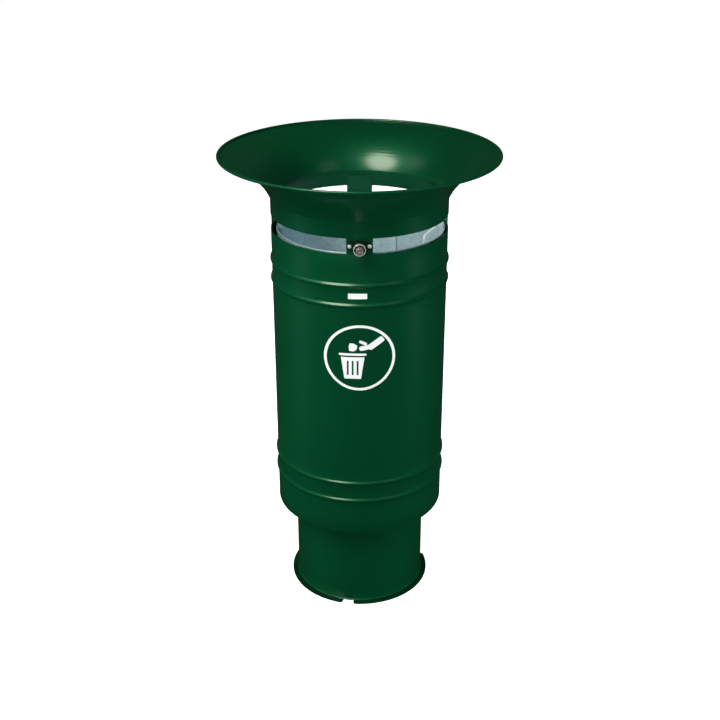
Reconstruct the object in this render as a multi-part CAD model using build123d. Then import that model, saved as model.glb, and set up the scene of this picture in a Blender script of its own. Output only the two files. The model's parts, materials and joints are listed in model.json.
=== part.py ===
"""Litter bin on a foot: hinged funnel hood, ribbed shell, lift-out liner.

Millimetres. The origin is the centre of the base on the ground, +Z is up and the lock is at -Y.
Every piece is written as one STEP file, parts/NAME.step.
"""

import os
from math import asin, atan2, cos, degrees, hypot, radians, sin, sqrt

from build123d import *

# ---------------------------------------------------------------- driving dimensions

# shell
shell_radius = 185.0
shell_wall = 1.5
shell_bottom = 210.0
shell_top = 850.0
rib_proud = 3.5
rib_width = 11.0
rib_spacing = 42.5
lower_rib_height = 291.0
upper_rib_height = 741.5

# floor of the shell, foot and base flange
floor_thick = 2.5
floor_inset = 2.0
floor_hole_radius = 100.0
foot_radius = 145.0
foot_wall = 3.0
flange_width = 13.5
flange_hole_radius = 92.0
flange_thick = 3.0
notch_count = 3
notch_width = 25.0
notch_corner = 6.0
notch_first_angle = -10.0
anchor_inset = 25.0
anchor_hole_radius = 6.0

# hood: neck band and funnel
hood_gap = 32.0
band_height = 33.5
hood_wall = 1.5
funnel_overhang = 105.0
funnel_height = 91.0
funnel_start_angle = 22.4
rim_bead_radius = 3.0
rim_wire_radius = 1.9

# tongues that hang from the band into the shell
tongue_thick = 2.0
tongue_clearance = 1.5
front_tongue_width = 52.0
side_tongue_width = 40.0
tongue_overlap = 15.0
tongue_lap = 24.0

# rear hinge
hinge_height_over_shell = 16.0
hinge_offset = 0.5
pin_radius = 3.0
pin_clearance = 0.10
knuckle_radius = 5.5
knuckle_gap = 0.4
hood_knuckle_length = 18.0
body_knuckle_length = 13.0
pin_head_radius = 4.6
pin_head_thick = 1.8
leaf_thick = 2.0
leaf_depth = 46.0
arm_width = 56.0
arm_thick = 2.0
arm_gap = 0.5
arm_drop = 9.0
arm_top_under_funnel = 8.0
arm_corner = 5.0
rivet_radius = 2.4
rivet_head_radius = 4.6
rivet_head_height = 2.0
rivet_spacing_x = 26.0
rivet_spacing_z = 22.0

# lock
lock_height_over_shell = 17.0
lock_plate_width = 50.0
lock_plate_height = 19.0
lock_plate_thick = 2.5
barrel_radius = 10.8
barrel_reach = 25.0
ring_radius = 12.0
ring_bore_radius = 10.0
ring_length = 7.0
rotor_radius = 7.2
rotor_proud = 10.5
rotor_clearance = 0.08
rotor_collar = 4.0
spindle_radius = 4.0
cup_radius = 5.6
cup_depth = 7.0
key_side = 8.0
cam_square = 5.0
cam_width = 9.0
cam_reach = 13.0
cam_thick = 1.8
cam_hub_radius = 5.5
cam_gap = 0.3
lock_screw_spacing = 39.0
screw_radius = 2.0
screw_head_radius = 4.0
screw_head_height = 2.4
screw_socket_side = 2.5

# keeper that the cam turns under
keeper_thick = 1.8
keeper_gap = 0.7
keeper_gap_to_cam = 1.1
keeper_side_gap = 1.6
keeper_hook = 7.0
keeper_hook_height = 10.0
keeper_riser_width = 9.4
keeper_foot_height = 34.0

# liner
liner_clearance = 7.5
liner_shift = 2.0
liner_proud = 0.0
liner_wall_thick = 1.0
liner_bead_radius = 2.0
liner_wire_radius = 1.1
liner_floor_gap = 0.3
liner_base_rise = 7.0
liner_base_skirt = 7.0
liner_seam_width = 14.0
liner_seam_angle = 153.0
liner_drain_radius = 4.0
liner_drain_circle = 110.0

# liner handles
handle_wire = 4.6
handle_first_angle = 48.5
handle_last_angle = 84.0
handle_bar_over_rim = 14.0
handle_travel = 18.0
handle_bend = 8.0
guide_clearance = 0.10
guide_wall = 1.9
guide_height = 20.0
guide_drop = 12.0
collar_radius = 3.4
collar_clearance = 0.4
collar_height = 3.0

# marks on the shell
mark_thick = 0.3
label_width = 38.0
label_height = 11.5
label_offset = -4.0
pictogram_height = 628.5
pictogram_radius = 72.4
pictogram_line = 5.6

# ---------------------------------------------------------------- worked-out places

shell_inner = shell_radius - shell_wall
flange_radius = foot_radius + flange_width
anchor_circle_radius = foot_radius - foot_wall - anchor_inset
floor_z = shell_bottom + floor_inset
floor_top = floor_z + floor_thick
band_z = shell_top + hood_gap
band_top = band_z + band_height
band_inner = shell_radius - hood_wall
hood_top = band_top + funnel_height
funnel_rim_radius = shell_radius + funnel_overhang
tongue_outer = shell_inner - tongue_clearance
tongue_inner = tongue_outer - tongue_thick
tongue_z = shell_top - tongue_overlap
hinge_y = shell_radius + hinge_offset
hinge_z = shell_top + hinge_height_over_shell
arm_y = hinge_y - knuckle_radius - arm_gap - arm_thick
lock_z = shell_top + lock_height_over_shell
lock_plate_y = tongue_outer + lock_plate_thick
ring_face_y = tongue_outer + barrel_reach + 4.0
cam_corner = hypot(cam_reach, cam_width / 2)
cam_outer_y = sqrt(tongue_inner**2 - cam_corner**2) - cam_gap
cam_inner_y = cam_outer_y - cam_thick
keeper_outer = tongue_inner - keeper_gap
keeper_inner = keeper_outer - keeper_thick
liner_z = floor_top + liner_floor_gap
liner_rim_radius = shell_inner - liner_clearance
liner_top = shell_top + liner_proud
liner_bead_z = liner_top - liner_bead_radius
liner_bead_centre = liner_rim_radius - liner_bead_radius
liner_outer = liner_bead_centre
liner_inner = liner_outer - liner_wall_thick
liner_base_z = liner_z + liner_base_rise
handle_leg_radius = liner_bead_centre - liner_bead_radius - collar_clearance - collar_radius
handle_bar_z = liner_top + handle_bar_over_rim
guide_top = liner_top - guide_drop
guide_z = guide_top - guide_height


# ---------------------------------------------------------------- helpers

def tube(outer, inner, low, high):
    """A ring of rectangular section about the vertical axis."""
    return Pos(0, 0, low) * extrude(Circle(outer) - Circle(inner), high - low)


def disc(radius, low, high):
    """A solid cylinder about the vertical axis."""
    return Pos(0, 0, low) * extrude(Circle(radius), high - low)


def torus(centre_radius, height, radius):
    """A round ring about the vertical axis."""
    return revolve(Plane.XZ * Pos(centre_radius, height) * Circle(radius), Axis.Z)


def box(x_low, x_high, y_low, y_high, z_low, z_high):
    """A box between two corners."""
    middle = Pos((x_low + x_high) / 2, (y_low + y_high) / 2, (z_low + z_high) / 2)
    return middle * Box(x_high - x_low, y_high - y_low, z_high - z_low)


def round_along_y(radius, y_low, y_high, x=0.0, z=0.0):
    """A cylinder along Y."""
    return Pos(x, (y_low + y_high) / 2, z) * Rot(90, 0, 0) * Cylinder(radius, y_high - y_low)


def round_along_x(radius, x_low, x_high, y, z):
    """A cylinder along X."""
    return Pos((x_low + x_high) / 2, y, z) * Rot(0, 90, 0) * Cylinder(radius, x_high - x_low)


def turned(angle, shape):
    """The shape turned about the vertical axis, from the front towards +X."""
    return Rot(0, 0, angle) * shape


def curved_strip(width, outer, inner, low, high):
    """A strip of a tube's wall at the front, cut by two planes at its sides."""
    return tube(outer, inner, low, high) & box(-width / 2, width / 2, -outer - 1, 0, low, high)


def write(name, *solids):
    """Write one node, joined under one compound when it is a group of separate solids."""
    shape = solids[0] if len(solids) == 1 else Compound(children=[s for s in solids])
    export_step(shape, f"parts/{name}.step")


# ---------------------------------------------------------------- shell, floor and foot

def rib_arc(radius, middle, proud):
    """Rib in section: an arc that leaves the wall and comes back rib_width higher."""
    half = rib_width / 2
    return ThreePointArc((radius, middle - half), (radius + proud, middle), (radius, middle + half))


def shell_outline(radius, low, high):
    """One side of the shell's wall, with an arc at each rib, from low to high."""
    edges = []
    z = low
    for first in (lower_rib_height, upper_rib_height):
        for middle in (first, first + rib_spacing):
            edges.append(Line((radius, z), (radius, middle - rib_width / 2)))
            edges.append(rib_arc(radius, middle, rib_proud))
            z = middle + rib_width / 2
    edges.append(Line((radius, z), (radius, high)))
    return edges


def body_shell():
    """Sheet cylinder whose ribs are rolled into its wall."""
    outer = shell_outline(shell_radius, shell_bottom, shell_top)
    inner = shell_outline(shell_inner, shell_bottom, shell_top)
    ends = [Line((shell_inner, z), (shell_radius, z)) for z in (shell_bottom, shell_top)]
    section = make_face([Plane.XZ * edge for edge in outer + inner + ends])
    shell = revolve(section, Axis.Z)
    for x, z in rivet_places():
        shell -= round_along_y(rivet_radius, arm_y, shell_radius + 1, x, z)
    return shell


def body_floor():
    """Plate that closes the shell and leaves a round opening over the foot."""
    return tube(shell_inner, floor_hole_radius, floor_z, floor_top)


def foot_tube():
    """Cylinder between the base flange and the floor plate."""
    return tube(foot_radius, foot_radius - foot_wall, flange_thick, floor_z)


def notch():
    """Cutter for one notch at the front of the flange, with rounded outer corners."""
    half = notch_width / 2
    reach = sqrt(flange_radius**2 - half**2)
    slot = Pos(0, -(foot_radius + flange_radius) / 2 - 10) * Rectangle(
        notch_width, flange_radius - foot_radius + 20)
    corners = Sketch()
    for side in (-1, 1):
        block = Pos(side * (half + notch_corner / 2), -reach) * Rectangle(notch_corner, 2 * notch_corner)
        round_off = Pos(side * (half + notch_corner), -reach + notch_corner) * Circle(notch_corner)
        corners += block - round_off
    return extrude(slot + corners, flange_thick)


def base_flange():
    """Flat ring on the ground, notched outside and drilled for anchors inside the foot."""
    flange = tube(flange_radius, flange_hole_radius, 0, flange_thick)
    for i in range(notch_count):
        flange -= turned(notch_first_angle + i * 360 / notch_count, notch())
        hole = Pos(0, -anchor_circle_radius) * extrude(Circle(anchor_hole_radius), flange_thick)
        flange -= turned(i * 360 / notch_count, hole)
    return flange


# ---------------------------------------------------------------- hood

def funnel_arc():
    """Radius, centre and end angle of the arc from the band's outer edge to the rim.

    The arc starts funnel_start_angle from the vertical and bends outwards.
    """
    run = funnel_rim_radius - rim_bead_radius - shell_radius
    rise = funnel_height - 2 * rim_bead_radius
    chord_angle = degrees(atan2(run, rise))
    half_turn = chord_angle - funnel_start_angle
    radius = hypot(run, rise) / 2 / sin(radians(half_turn))
    start = radians(funnel_start_angle)
    centre = (shell_radius + radius * cos(start), band_top - radius * sin(start))
    return radius, centre, funnel_start_angle + 2 * half_turn


def on_funnel(radius, angle):
    """Point of the funnel's section where its slope is angle from the vertical."""
    centre = funnel_arc()[1]
    turn = radians(angle)
    return centre[0] - radius * cos(turn), centre[1] + radius * sin(turn)


def funnel():
    """Spun sheet whose edge is rolled around a wire."""
    radius, centre, end_angle = funnel_arc()
    inner_radius = radius + hood_wall
    foot_angle = degrees(asin((band_top - centre[1]) / inner_radius))
    middle_angle = (funnel_start_angle + end_angle) / 2
    outer_ends = on_funnel(radius, funnel_start_angle), on_funnel(radius, end_angle)
    inner_ends = on_funnel(inner_radius, foot_angle), on_funnel(inner_radius, end_angle)
    edges = [
        ThreePointArc(outer_ends[0], on_funnel(radius, middle_angle), outer_ends[1]),
        ThreePointArc(inner_ends[0], on_funnel(inner_radius, middle_angle), inner_ends[1]),
        Line(outer_ends[0], inner_ends[0]),
        Line(outer_ends[1], inner_ends[1]),
    ]
    sheet = revolve(make_face([Plane.XZ * edge for edge in edges]), Axis.Z)
    return sheet + rim_torus(rim_bead_radius) - rim_torus(rim_wire_radius)


def rim_torus(radius):
    """Round ring centred in the funnel's rolled rim."""
    return torus(funnel_rim_radius - rim_bead_radius, hood_top - rim_bead_radius, radius)


def neck_band():
    """Cylinder that the funnel is welded to."""
    return tube(shell_radius, band_inner, band_z, band_top)


def tongue(width):
    """Strip that is welded inside the band and hangs into the shell, at the front.

    Its head fills the small space between the strip and the band.
    """
    strip = curved_strip(width, tongue_outer, tongue_inner, tongue_z, band_z + tongue_lap)
    head = curved_strip(width, band_inner, tongue_inner, band_z, band_z + tongue_lap)
    return strip + head


def front_tongue():
    """Front strip, with the lock's spindle hole and two tapped screw holes."""
    strip = tongue(front_tongue_width)
    strip -= round_along_y(spindle_radius + rotor_clearance, -shell_radius, -tongue_inner + 9, 0, lock_z)
    for side in (-1, 1):
        x = side * lock_screw_spacing / 2
        strip -= round_along_y(screw_radius, -shell_radius, -tongue_inner + 9, x, lock_z)
    return strip


def rear_arm():
    """Channel whose flanges are welded to the back of the band and whose web carries the knuckle."""
    low = hinge_z - arm_drop
    high = band_top - arm_top_under_funnel
    half = arm_width / 2
    web = box(-half, half, arm_y, arm_y + arm_thick, low, high)
    corners = web.edges().filter_by(Axis.Y).group_by(Axis.Z)[-1]
    web = chamfer(corners, arm_corner)
    cylinder = disc(band_inner, low, high)
    for side in (-1, 1):
        inner, outer = sorted((side * (half - arm_thick), side * half))
        flange = box(inner, outer, arm_y + arm_thick, band_inner, low, high - arm_corner)
        web += flange & cylinder
    return web


def hood_knuckle():
    """Middle knuckle of the hinge, with the short block that joins it to the arm's web."""
    half = hood_knuckle_length / 2
    block = box(-half, half, arm_y + arm_thick, hinge_y, hinge_z - 4, hinge_z + 4)
    knuckle = block + round_along_x(knuckle_radius, -half, half, hinge_y, hinge_z)
    return knuckle - round_along_x(pin_radius + pin_clearance, -half, half, hinge_y, hinge_z)


# ---------------------------------------------------------------- rear hinge on the shell

def knuckle_span(side):
    """Low and high X of one of the bracket's two knuckles."""
    near = hood_knuckle_length / 2 + knuckle_gap
    return sorted((side * near, side * (near + body_knuckle_length)))


def rivet_places():
    """X and Z of the rivets that hold the bracket to the shell."""
    middle = shell_top - leaf_depth / 2 - 2
    return [(sx * rivet_spacing_x / 2, middle + sz * rivet_spacing_z / 2) for sx in (-1, 1) for sz in (-1, 1)]


def hinge_bracket():
    """Curved leaf inside the shell with two knuckles above its edge."""
    width = hood_knuckle_length + 2 * (knuckle_gap + body_knuckle_length)
    leaf = turned(180, curved_strip(width, shell_inner, shell_inner - leaf_thick,
                                    shell_top - leaf_depth, hinge_z))
    room = hood_knuckle_length / 2 + knuckle_gap
    leaf -= box(-room, room, 0, hinge_y, hinge_z - knuckle_radius - 2.5, hinge_z + 1)
    for side in (-1, 1):
        low, high = knuckle_span(side)
        leaf += round_along_x(knuckle_radius, low, high, hinge_y, hinge_z)
    leaf -= round_along_x(pin_radius, -width, width, hinge_y, hinge_z)
    for x, z in rivet_places():
        leaf -= round_along_y(rivet_radius, arm_y, hinge_y, x, z)
    return leaf


def hinge_rivets():
    """Four dome-head rivets through the shell and the bracket's leaf, with flush inner ends."""
    rivets = []
    for x, z in rivet_places():
        seat = sqrt(shell_radius**2 - x**2)
        shank = round_along_y(rivet_radius, arm_y, seat + 1, x, z) & disc(shell_radius, 0, hood_top)
        shank -= disc(shell_inner - leaf_thick, 0, hood_top)
        dome_radius = (rivet_head_radius**2 + rivet_head_height**2) / 2 / rivet_head_height
        ball = Pos(x, seat + rivet_head_height - dome_radius, z) * Sphere(dome_radius)
        head = ball & round_along_y(rivet_head_radius, seat - 1, seat + 4, x, z)
        rivets.append(shank + (head - disc(shell_radius, 0, hood_top)))
    return rivets


def hinge_pin():
    """Pin pressed into the bracket's knuckles, with a head at its left end."""
    reach = knuckle_span(1)[1]
    pin = round_along_x(pin_radius, -reach, reach + pin_head_thick, hinge_y, hinge_z)
    return pin + round_along_x(pin_head_radius, -reach - pin_head_thick, -reach, hinge_y, hinge_z)


def hinge_cap():
    """Push-on cap at the pin's right end."""
    reach = knuckle_span(1)[1]
    cap = round_along_x(pin_head_radius, reach, reach + pin_head_thick, hinge_y, hinge_z)
    return cap - round_along_x(pin_radius, reach, reach + pin_head_thick, hinge_y, hinge_z)


# ---------------------------------------------------------------- lock and keeper

def lock_housing():
    """Plate against the tongue with a barrel that stands out of it, bored for the rotor."""
    plate = box(-lock_plate_width / 2, lock_plate_width / 2, -lock_plate_y, -tongue_outer + 6,
                lock_z - lock_plate_height / 2, lock_z + lock_plate_height / 2)
    plate = fillet(plate.edges().filter_by(Axis.Y), lock_plate_height / 2 - 1)
    plate -= disc(tongue_outer, 0, hood_top)
    barrel = round_along_y(barrel_radius, -tongue_outer - barrel_reach, -lock_plate_y, 0, lock_z)
    housing = plate + barrel
    housing -= round_along_y(rotor_radius + rotor_clearance, -ring_face_y, -lock_plate_y - rotor_collar,
                             0, lock_z)
    housing -= round_along_y(spindle_radius + rotor_clearance, -ring_face_y, 0, 0, lock_z)
    for side in (-1, 1):
        x = side * lock_screw_spacing / 2
        housing -= round_along_y(screw_radius, -ring_face_y, 0, x, lock_z)
    return housing


def lock_ring():
    """Guard ring pushed over the barrel's end, standing past its face."""
    back = -ring_face_y + ring_length
    ring = round_along_y(ring_radius, -ring_face_y, back, 0, lock_z)
    ring -= round_along_y(barrel_radius, -tongue_outer - barrel_reach, back, 0, lock_z)
    ring -= round_along_y(ring_bore_radius, -ring_face_y, back, 0, lock_z)
    outer_edge = ring.edges().filter_by(GeomType.CIRCLE).group_by(Axis.Y)[0]
    return chamfer(outer_edge, 0.5)


def lock_screws():
    """Two button-head screws that hold the housing on the tongue."""
    screws = []
    for side in (-1, 1):
        x = side * lock_screw_spacing / 2
        shank = round_along_y(screw_radius, -lock_plate_y - 1, 0, x, lock_z) - disc(tongue_inner, 0, hood_top)
        head = round_along_y(screw_head_radius, -lock_plate_y - screw_head_height, -lock_plate_y, x, lock_z)
        head = fillet(head.edges().filter_by(GeomType.CIRCLE).group_by(Axis.Y)[0], screw_head_height - 0.6)
        socket = extrude(RegularPolygon(screw_socket_side / 2, 6), 1.4)
        place = Pos(x, -lock_plate_y - screw_head_height + 1.4, lock_z) * Rot(90, 0, 0)
        screws.append(head + shank - place * socket)
    return screws


def lock_rotor():
    """Rotor with a cup at its face, a triangular key stud in the cup and a square tail for the cam."""
    face = -ring_face_y - rotor_proud
    shoulder = -lock_plate_y - rotor_collar
    rotor = round_along_y(rotor_radius, face, shoulder, 0, lock_z)
    rotor = fillet(rotor.edges().filter_by(GeomType.CIRCLE).group_by(Axis.Y)[0], 0.6)
    rotor -= round_along_y(cup_radius, face, face + cup_depth, 0, lock_z)
    stud = extrude(RegularPolygon(key_side / sqrt(3), 3), cup_depth)
    rotor += Pos(0, face + cup_depth, lock_z) * Rot(90, 0, 0) * stud
    rotor += round_along_y(spindle_radius, shoulder, -cam_outer_y, 0, lock_z)
    half = cam_square / 2
    rotor += box(-half, half, -cam_outer_y, -cam_inner_y, lock_z - half, lock_z + half)
    return rotor


def lock_cam():
    """Lever behind the tongue that points down while the lock is open."""
    bar = box(-cam_width / 2, cam_width / 2, -cam_outer_y, -cam_inner_y, lock_z - cam_reach, lock_z)
    tip = bar.edges().filter_by(Axis.Y).group_by(Axis.Z)[0]
    cam = fillet(tip, 2) + round_along_y(cam_hub_radius, -cam_outer_y, -cam_inner_y, 0, lock_z)
    half = cam_square / 2
    return cam - box(-half, half, -cam_outer_y, -cam_inner_y, lock_z - half, lock_z + half)


def latch_keeper():
    """Curved hook plate behind the tongue, on a foot that reaches out to the shell."""
    riser_x = cam_corner + keeper_side_gap - 0.8
    hook_z = lock_z + cam_width / 2 + keeper_gap_to_cam
    hook_x = riser_x - keeper_hook
    top = hook_z + keeper_hook_height
    low = tongue_z - keeper_foot_height
    wall = tube(keeper_outer, keeper_inner, low, top)
    outline = box(riser_x, riser_x + keeper_riser_width, -shell_inner, 0, low, top)
    outline += box(hook_x, riser_x, -shell_inner, 0, hook_z, top)
    foot = tube(shell_inner, keeper_outer, low, tongue_z - 0.5)
    return (wall & outline) + (foot & outline)


# ---------------------------------------------------------------- liner

def liner_torus(radius):
    """Round ring centred in the liner's wired edge."""
    return torus(liner_bead_centre, liner_bead_z, radius)


def liner_wall():
    """Sheet cylinder with an inside lap seam and a wired top edge."""
    wall = tube(liner_outer, liner_inner, liner_z, liner_bead_z)
    lap = curved_strip(liner_seam_width, liner_inner, liner_inner - liner_wall_thick,
                       liner_base_z + 2, liner_bead_z - 8)
    wall += turned(liner_seam_angle, lap)
    return Pos(liner_shift, 0, 0) * (wall + liner_torus(liner_bead_radius) - liner_torus(liner_wire_radius))


def liner_base():
    """Pressed bottom with a short skirt inside the wall and four drain holes."""
    base = disc(liner_inner, liner_base_z, liner_base_z + liner_wall_thick)
    base += tube(liner_inner, liner_inner - liner_wall_thick, liner_base_z - liner_base_skirt, liner_base_z)
    for i in range(4):
        hole = Pos(0, -liner_drain_circle, liner_base_z) * extrude(Circle(liner_drain_radius),
                                                                   liner_wall_thick)
        base -= turned(45 + 90 * i, hole)
    return Pos(liner_shift, 0, 0) * base


def leg_place(angle):
    """X and Y of a handle leg, seen from the liner's own axis."""
    turn = radians(angle)
    return handle_leg_radius * sin(turn), -handle_leg_radius * cos(turn)


def handle_angles():
    """Angles of the two legs of the right handle."""
    return handle_first_angle, handle_last_angle


def on_liner(shape, turn):
    """The shape turned about the liner's axis and moved to the liner's place."""
    return Pos(liner_shift, 0, 0) * turned(turn, shape)


def handle(turn):
    """Bail of bent wire: two upright legs and a straight bar between them."""
    first, last = [leg_place(a) for a in handle_angles()]
    low = guide_z - handle_travel - collar_height - 2
    points = [(*first, low), (*first, handle_bar_z), (*last, handle_bar_z), (*last, low)]
    path = FilletPolyline(*points, radius=handle_bend)
    wire = sweep(Plane(origin=points[0], z_dir=(0, 0, 1)) * Circle(handle_wire / 2), path=path)
    return on_liner(wire, turn)


def handle_collars(turn):
    """Rings crimped on the legs: one pair rests on the guides, the other stops the lift."""
    rings = []
    for angle in handle_angles():
        x, y = leg_place(angle)
        for low in (guide_top, guide_z - handle_travel - collar_height):
            ring = Pos(x, y, low) * extrude(Circle(collar_radius) - Circle(handle_wire / 2), collar_height)
            rings.append(on_liner(ring, turn))
    return rings


def handle_guides():
    """Sleeves on the liner's wall that the handle legs slide in."""
    guides = []
    bore = handle_wire / 2 + guide_clearance
    for turn in (0, 180):
        for angle in handle_angles():
            x, y = leg_place(angle)
            pad = curved_strip(2 * (bore + guide_wall), liner_inner, handle_leg_radius, guide_z, guide_top)
            sleeve = Pos(x, y, guide_z) * extrude(Circle(bore + guide_wall), guide_height)
            sleeve = (turned(angle, pad) + sleeve) & disc(liner_inner, guide_z, guide_top)
            sleeve -= Pos(x, y, guide_z) * extrude(Circle(bore), guide_height)
            guides.append(on_liner(sleeve, turn))
    return guides


# ---------------------------------------------------------------- marks on the shell

def on_shell(sketch, height):
    """A flat drawing laid on the front of the shell as a thin curved skin."""
    reach = shell_radius + 5
    drawing = Pos(0, -reach / 2, height) * Rot(90, 0, 0) * extrude(sketch, reach / 2)
    skin = tube(shell_radius + mark_thick, shell_radius, height - 100, height + 100)
    return drawing & skin


def label_plate():
    """Blank plate between the upper ribs."""
    plate = Pos(label_offset, 0) * RectangleRounded(label_width, label_height, 1.2)
    return on_shell(plate, upper_rib_height + rib_spacing / 2)


def pictogram():
    """Ring round a plain bin, a ball of paper and a hand that lets go of it."""
    ring = Circle(pictogram_radius) - Circle(pictogram_radius - pictogram_line)
    bin_shape = make_face(Polyline((-38, 2), (10, 2), (3, -46), (-31, -46), close=True))
    for x in (-24, -14, -4):
        bin_shape -= Pos(x, -22) * SlotOverall(32, 3.6, rotation=90)
    lip = Pos(-14, 8) * RectangleRounded(56, 5, 2)
    paper = Pos(-14, 24) * Rot(0, 0, 20) * (RegularPolygon(9.5, 7))
    arm = Pos(33, 32.3) * Rot(0, 0, 35) * RectangleRounded(36, 13, 4)
    palm = Pos(11, 23) * Rot(0, 0, 12) * SlotOverall(24, 10)
    thumb = Pos(7, 34) * Rot(0, 0, -24) * SlotOverall(17, 6)
    pieces = [ring, bin_shape, lip, paper, arm + palm + thumb]
    return [on_shell(piece, pictogram_height) for piece in pieces]


# ---------------------------------------------------------------- writing

def main():
    os.makedirs("parts", exist_ok=True)
    for make in (body_shell, body_floor, foot_tube, base_flange, latch_keeper, hinge_bracket, hinge_pin,
                 hinge_cap, label_plate, funnel, neck_band, front_tongue, rear_arm, hood_knuckle,
                 lock_housing, lock_ring, lock_rotor, lock_cam, liner_wall, liner_base):
        write(make.__name__, make())
    for make in (hinge_rivets, lock_screws, handle_guides, pictogram):
        write(make.__name__, *make())
    write("rim_wire", rim_torus(rim_wire_radius))
    write("liner_rim_wire", Pos(liner_shift, 0, 0) * liner_torus(liner_wire_radius))
    write("right_tongue", turned(90, tongue(side_tongue_width)))
    write("left_tongue", turned(-90, tongue(side_tongue_width)))
    for name, turn in (("right", 0), ("left", 180)):
        write(f"{name}_handle", handle(turn))
        write(f"{name}_collars", *handle_collars(turn))


main()
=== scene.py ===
"""Looks of a street litter bin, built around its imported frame.

The frame holds every piece at its real size, in metres: +Z up, the lock at -Y, the hinge at +Y.
Each operator below makes one piece or one group of like pieces, and main() calls them in order.
"""

import json

import bmesh
import bpy
import numpy as np
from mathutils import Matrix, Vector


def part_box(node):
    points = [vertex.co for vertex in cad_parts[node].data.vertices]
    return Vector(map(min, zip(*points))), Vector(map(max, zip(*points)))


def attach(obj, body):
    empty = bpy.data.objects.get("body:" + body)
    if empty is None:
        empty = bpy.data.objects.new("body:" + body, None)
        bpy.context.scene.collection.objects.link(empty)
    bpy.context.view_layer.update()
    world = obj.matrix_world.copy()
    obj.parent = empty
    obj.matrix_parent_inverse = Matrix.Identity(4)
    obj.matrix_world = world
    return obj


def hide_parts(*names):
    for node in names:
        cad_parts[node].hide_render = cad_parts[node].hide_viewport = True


bl_info = {
    "name": "Litter Bin Looks",
    "version": (1, 0, 0),
    "blender": (4, 5, 0),
    "location": "3D View > Sidebar > Litter Bin",
    "description": "Sheet-metal surfaces, finishes and studio for a funnel-top litter bin",
    "category": "Object",
}

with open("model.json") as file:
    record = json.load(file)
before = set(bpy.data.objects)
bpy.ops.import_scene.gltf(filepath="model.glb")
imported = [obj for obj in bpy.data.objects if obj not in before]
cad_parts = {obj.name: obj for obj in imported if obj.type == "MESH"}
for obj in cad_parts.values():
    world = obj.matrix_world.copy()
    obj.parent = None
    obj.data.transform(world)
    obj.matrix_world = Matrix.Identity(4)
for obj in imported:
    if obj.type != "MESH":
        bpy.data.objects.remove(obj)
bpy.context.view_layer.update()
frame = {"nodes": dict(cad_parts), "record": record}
MM = 0.001


def node_box(node):
    """Lowest and highest corners of a frame node, as arrays."""
    low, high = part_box(node)
    return np.array(low), np.array(high)


# Places read from the frame
band_low, band_high = node_box("neck_band")
shell_low, shell_high = node_box("body_shell")
funnel_high = node_box("funnel")[1]
foot_low, foot_high = node_box("foot_tube")
flange_low, flange_high = node_box("base_flange")
floor_low, floor_high = node_box("body_floor")
tongue_low, tongue_high = node_box("front_tongue")
side_high = node_box("right_tongue")[1]
arm_low, arm_high = node_box("rear_arm")
knuckle_low, knuckle_high = node_box("hood_knuckle")
bracket_low, bracket_high = node_box("hinge_bracket")
pin_low, pin_high = node_box("hinge_pin")
housing_low, housing_high = node_box("lock_housing")
ring_low, ring_high = node_box("lock_ring")
rotor_low, rotor_high = node_box("lock_rotor")
liner_low, liner_high = node_box("liner_wall")
base_low, base_high = node_box("liner_base")
label_low, label_high = node_box("label_plate")
mark_low, mark_high = node_box("pictogram")

SHELL_RADIUS = band_high[0]
RIM_RADIUS = funnel_high[0]
FOOT_RADIUS = foot_high[0]
FLANGE_RADIUS = flange_high[0]
LINER_SHIFT = (liner_low[0] + liner_high[0]) / 2
LINER_RIM = (liner_high[0] - liner_low[0]) / 2
LOCK_Z = (ring_low[2] + ring_high[2]) / 2
HINGE_Y = (pin_low[1] + pin_high[1]) / 2
HINGE_Z = (pin_low[2] + pin_high[2]) / 2
TONGUE_OUTER = side_high[0]

# Where the bucket's lap lies, in degrees from the front towards +X
SEAM_TURN = 151.9


# ---------------------------------------------------------------- sizes and colours a user would change

class BinSizes(bpy.types.PropertyGroup):
    """Sizes of the sheet work."""

    sheet: bpy.props.FloatProperty(
        name="Sheet", description="Thickness of shell, band and funnel", default=1.5 * MM, unit="LENGTH")
    edge: bpy.props.FloatProperty(
        name="Edge", description="Rounding of cut sheet edges", default=0.45 * MM, unit="LENGTH")
    rib_proud: bpy.props.FloatProperty(
        name="Rib height", description="How far a rib stands out of the shell",
        default=float(shell_high[0] - SHELL_RADIUS), unit="LENGTH")
    rib_half: bpy.props.FloatProperty(
        name="Rib half width", description="Half of a rib's width", default=6.0 * MM, unit="LENGTH")
    rib_spacing: bpy.props.FloatProperty(
        name="Rib spacing", description="Distance between the ribs of a pair",
        default=42.5 * MM, unit="LENGTH")
    lower_rib: bpy.props.FloatProperty(
        name="Lower rib", description="Height of the lowest rib", default=291.0 * MM, unit="LENGTH")
    upper_rib: bpy.props.FloatProperty(
        name="Upper rib", description="Height of the lower rib of the upper pair", default=741.5 * MM,
        unit="LENGTH")
    waviness: bpy.props.FloatProperty(
        name="Waviness", description="Unevenness of the rolled sheet", default=0.10 * MM, unit="LENGTH")
    bead: bpy.props.FloatProperty(
        name="Rim bead", description="Radius of the funnel's rolled edge", default=3.0 * MM, unit="LENGTH")
    funnel_start: bpy.props.FloatProperty(
        name="Funnel start", description="Slope from the vertical where the funnel leaves the band",
        default=np.radians(22.4), subtype="ANGLE")
    liner_bead: bpy.props.FloatProperty(
        name="Liner bead", description="Radius of the liner's wired edge", default=2.0 * MM, unit="LENGTH")
    liner_sheet: bpy.props.FloatProperty(
        name="Liner sheet", description="Thickness of the liner", default=1.0 * MM, unit="LENGTH")
    wire: bpy.props.FloatProperty(
        name="Handle wire", description="Diameter of the liner's handles", default=4.6 * MM, unit="LENGTH")


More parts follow.
